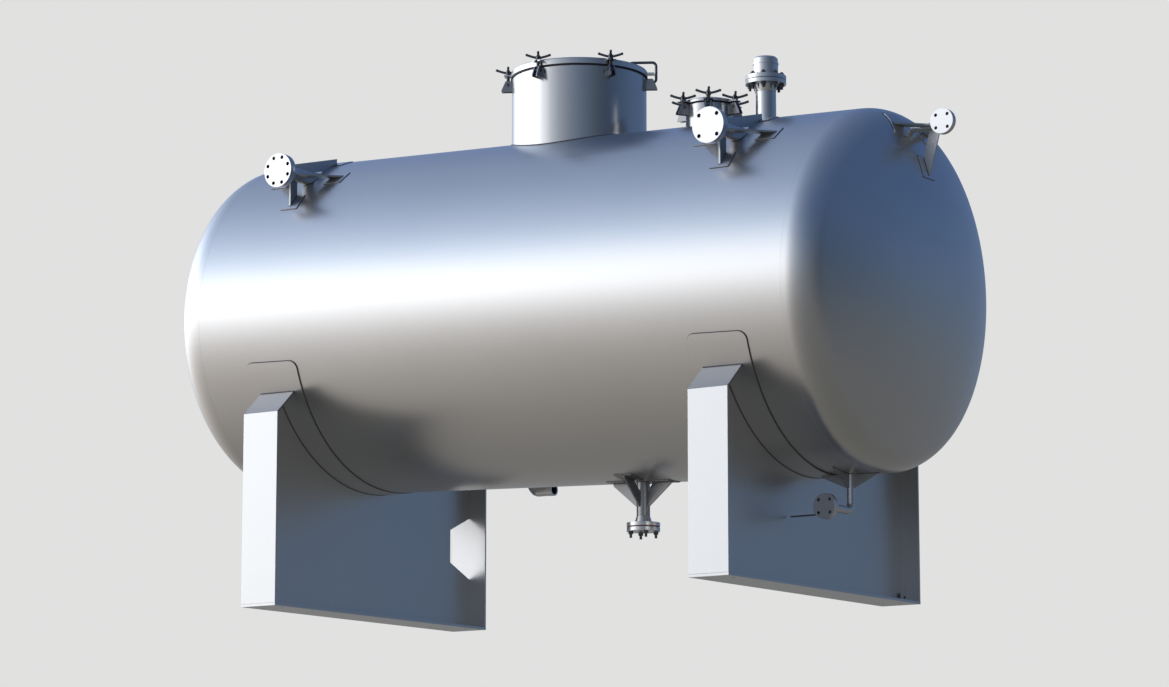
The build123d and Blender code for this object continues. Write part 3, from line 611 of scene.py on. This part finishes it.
# %% Studs and nuts
STUD = 8
ACROSS = 24
WASHER, WASHER_RADIUS = 3, 15
NUT = 13
TAPPED_SHORT = 2
washer = [(0, 0), (WASHER_RADIUS, 0), (WASHER_RADIUS, WASHER), (0, WASHER)]
for name, x, pcd, count, start, bottom, top, tail, head in (
    ("vent_bolts", 1.275, 180, 8, 22.5, 2869, 2918, 14, 5),
    ("drain_bolts", 0.44, 145, 4, 45, 396, 446, 20, None),
):
    washers, nuts = [bottom - WASHER], [bottom - WASHER - NUT]
    end = top - TAPPED_SHORT
    if head is not None:
        washers, nuts = washers + [top], nuts + [top + WASHER]
        end = top + WASHER + NUT + head
    bm = bmesh.new()
    for place in ring_places((x, 0, 0), pcd / 2 * MM, count, start):
        here = aim(place)
        lathe(bm, threaded(STUD, bottom - WASHER - NUT - tail, end), here, steps=16)
        for level in washers:
            lathe(bm, [(radius, level + height) for radius, height in washer], here)
        for level in nuts:
            nut(bm, here @ Matrix.Translation((0, 0, level * MM)), ACROSS, NUT)
    add_piece(bm, name, "clamp_steel")

# %% [markdown]
# ## Swing clamps
# The star handles, eyes and forks are solids already. Each clamp still needs what makes it work: a
# thread on its rod, a pin through the fork, and rounded ends on the four arms of the star. They are
# built for one clamp at a time and then turned round the cover. The arms of all the stars face the
# same way.

# %% Threads, pins and ball tips
THREAD = 10
PIVOT_DROP = 22
EYE = 14
HUB_HALF = 11
HUB_ABOVE_EAR = 4 + HUB_HALF
EAR = 8
ROD_ABOVE = 8
PIN_START = 19
PIN = [(0, 0), (10, 0), (10, 3), (8.5, 4.5), (0, 4.5)]
BALL = 8
ARMS = 4
ARM_REACH = 66
ARM_RISE = 18
FACING = 35
for name, x, ring, places, top, ear_top, lift in (
    ("manway_clamp_fittings", 0, 417, range(90, 390, 60), 3069, 3104, 0),
    ("hand_hole_clamp_fittings", 0.9, 170, range(-60, 300, 60), 2793, 2808, 10),
):
    bm = bmesh.new()
    pivot = top - PIVOT_DROP
    for angle in places:
        hub = ear_top + HUB_ABOVE_EAR + (lift if angle == places[0] else 0)
        turned_place = Matrix.Translation((x, 0, 0)) @ Matrix.Rotation(math.radians(angle), 4, "Z")
        here = turned_place @ Matrix.Translation((ring * MM, 0, 0))
        lathe(bm, threaded(THREAD, hub + HUB_HALF - 1, hub + HUB_HALF + ROD_ABOVE), here, steps=20)
        lathe(bm, threaded(THREAD, pivot + EYE - 4, ear_top - EAR), here, steps=20)
        lathe(bm, threaded(THREAD, ear_top, hub - HUB_HALF + 1), here, steps=20)
        for side in (-1, 1):
            lathe(bm, PIN, here @ aim((0, side * PIN_START * MM, pivot * MM), (0, side, 0)))
        for turn in range(ARMS):
            arm = math.radians(FACING - angle + 360 / ARMS * turn)
            tip = Vector((ARM_REACH * math.cos(arm), ARM_REACH * math.sin(arm), hub + ARM_RISE)) * MM
            bmesh.ops.create_uvsphere(
                bm,
                u_segments=16,
                v_segments=10,
                radius=BALL * MM,
                matrix=here @ Matrix.Translation(tip),
            )
            tag_all(bm)
    add_piece(bm, name, "clamp_steel")

# %% [markdown]
# ## Weld beads
# Nearly every joint on the tank is a weld, and in the light each one draws a thin line. The beads run
# along edges that the solids already have: an edge that lies on the vessel's surface, or on a pad, is
# where a piece was welded on. Those edges are joined into paths, and a round bead with a slightly
# uneven width is laid along each path.

# %% Where the vessel's surface is
FALL = math.radians(2.165)
ALONG = Vector((math.cos(FALL), 0, -math.sin(FALL)))
MIDDLE = Vector((0, 0, 1.696))
SHELL_ENDS = (-2.02, 1.97)
RADIUS = 1.0
CROWN, KNUCKLE, SKIRT = 2.0, 0.2, 0.025
CROWN_CENTRE = SKIRT - math.sqrt((CROWN - KNUCKLE) ** 2 - (RADIUS - KNUCKLE) ** 2)
CROWN_WITHIN = 0.8 * RADIUS
CREASE = math.radians(25)


def off_vessel(point):
    """Distance of a point from the outer surface of the vessel."""
    reach = (point - MIDDLE).dot(ALONG)
    out = (point - MIDDLE - ALONG * reach).length
    past = max(SHELL_ENDS[0] - reach, reach - SHELL_ENDS[1])
    if past < SKIRT:
        return out - RADIUS
    knuckle = Vector((past - SKIRT, out - RADIUS + KNUCKLE)).length - KNUCKLE
    crown = Vector((past - CROWN_CENTRE, out)).length - CROWN
    return crown if out < CROWN_WITHIN else knuckle


def paths_on(solid, level, tolerance=0.0012):
    """The sharp edges of a solid at a distance from the vessel, joined into paths."""
    bm = merged(solid)
    near = {v for v in bm.verts if abs(off_vessel(v.co) - level) < tolerance}
    sharp = {
        edge
        for edge in bm.edges
        if all(v in near for v in edge.verts)
        and (len(edge.link_faces) != 2 or edge.calc_face_angle() > CREASE)
    }
    paths = []
    while sharp:
        edge = sharp.pop()
        path = list(edge.verts)
        for end in (1, 0):
            onward = True
            while onward:
                tip = path[-1] if end else path[0]
                onward = next((e for e in tip.link_edges if e in sharp), None)
                if onward:
                    sharp.discard(onward)
                    path.insert(len(path) * end, onward.other_vert(tip))
        paths.append([v.co.copy() for v in path])
    bm.free()
    return paths


def length_of(path):
    return sum((b - a).length for a, b in zip(path, path[1:]))


def resample(path, step):
    """The same path with points at equal steps."""
    total = length_of(path)
    count = max(2, round(total / step))
    made, walked, index = [path[0].copy()], 0.0, 0
    for number in range(1, count):
        target = total * number / count
        while index < len(path) - 2 and walked + (path[index + 1] - path[index]).length < target:
            walked += (path[index + 1] - path[index]).length
            index += 1
        leg = path[index + 1] - path[index]
        made.append(path[index] + leg * ((target - walked) / max(leg.length, 1e-9)))
    return made + [path[-1].copy()]


def lay_beads(name, slot, paths, radius, step=0.006):
    """Lays a bead along each path and makes one mesh of them. Two sines make its width uneven."""
    curve = bpy.data.curves.new(name, "CURVE")
    curve.dimensions = "3D"
    curve.bevel_depth = radius
    curve.bevel_resolution = 1
    for path in paths:
        points = resample(path, step)
        closed = (points[0] - points[-1]).length < step
        if closed:
            points.pop()
        spline = curve.splines.new("POLY")
        spline.points.add(len(points) - 1)
        for number, (place, point) in enumerate(zip(spline.points, points)):
            place.co = (*point, 1)
            place.radius = 1 + 0.16 * math.sin(2.4 * number) * math.sin(0.37 * number)
        spline.use_cyclic_u = closed
    holder = bpy.data.objects.new(name, curve)
    bpy.context.scene.collection.objects.link(holder)
    evaluated = holder.evaluated_get(bpy.context.evaluated_depsgraph_get())
    mesh = bpy.data.meshes.new_from_object(evaluated)
    bpy.data.objects.remove(holder)
    bm = bmesh.new()
    bm.from_mesh(mesh)
    bpy.data.meshes.remove(mesh)
    add_piece(bm, name, slot)


# %% [markdown]
# The two seams of the shell are ground nearly flush, so their beads barely stand out of the sheet. A
# pipe or neck is welded along the longest edge that touches the vessel, a brace along its foot on the
# pad, and a pad all round. The edges of the saddles' pads and plates are picked by length, since short
# ones are only corners.

# %% Lay the beads
SEAM_BEAD, SEAM_SUNK = 0.0045, 0.0043
SADDLE_PAD = 0.008
FOOT_PAD = 0.005


def circle_path(distance, radius, count=360):
    side = Vector((0, 1, 0))
    up = ALONG.cross(side)
    middle = MIDDLE + ALONG * distance
    angles = (math.tau * number / count for number in range(count + 1))
    return [middle + side * (radius * math.cos(a)) + up * (radius * math.sin(a)) for a in angles]


seams = [circle_path(distance, RADIUS - SEAM_SUNK) for distance in SHELL_ENDS]
lay_beads("shell_seam_welds", "vessel_steel", seams, SEAM_BEAD)
for side in ("left", "right"):
    pad_edges = [p for p in paths_on(nodes[f"{side}_saddle_pad"], 0) if length_of(p) > 1]
    lay_beads(f"{side}_pad_welds", "vessel_steel", pad_edges, 0.005)
    plates = ("web", "front_cap", "back_cap")
    on_pad = [p for part in plates for p in paths_on(nodes[f"{side}_saddle_{part}"], SADDLE_PAD, 0.002)]
    lay_beads(f"{side}_saddle_welds", "saddle_steel", [p for p in on_pad if length_of(p) > 0.05], 0.004)
for name, radius in (
    ("manway_neck", 0.005),
    ("hand_hole_neck", 0.004),
    ("vent_pipe", 0.0035),
    ("drain_pipe", 0.0035),
    ("outlet_pipe", 0.003),
    ("rear_outlet_pipe", 0.003),
    ("left_inlet_pipe", 0.0035),
    ("right_inlet_pipe", 0.0035),
    ("end_nozzle_pipe", 0.003),
    ("left_inlet_pads", 0.003),
    ("right_inlet_pads", 0.003),
    ("drain_pads", 0.003),
    ("end_nozzle_pads", 0.003),
    ("left_inlet_braces", 0.0028),
    ("right_inlet_braces", 0.0028),
    ("drain_braces", 0.0028),
    ("outlet_braces", 0.0028),
    ("end_nozzle_braces", 0.0028),
):
    on_pads = "braces" in name and "outlet" not in name
    found = paths_on(nodes[name], FOOT_PAD if on_pads else 0, 0.002)
    if not name.endswith(("braces", "pads")):
        found = sorted(found, key=length_of)[-1:]
    print(name, "welds", [round(length_of(p), 3) for p in found])
    lay_beads(name + "_welds", slots[name], found, radius, 0.004)
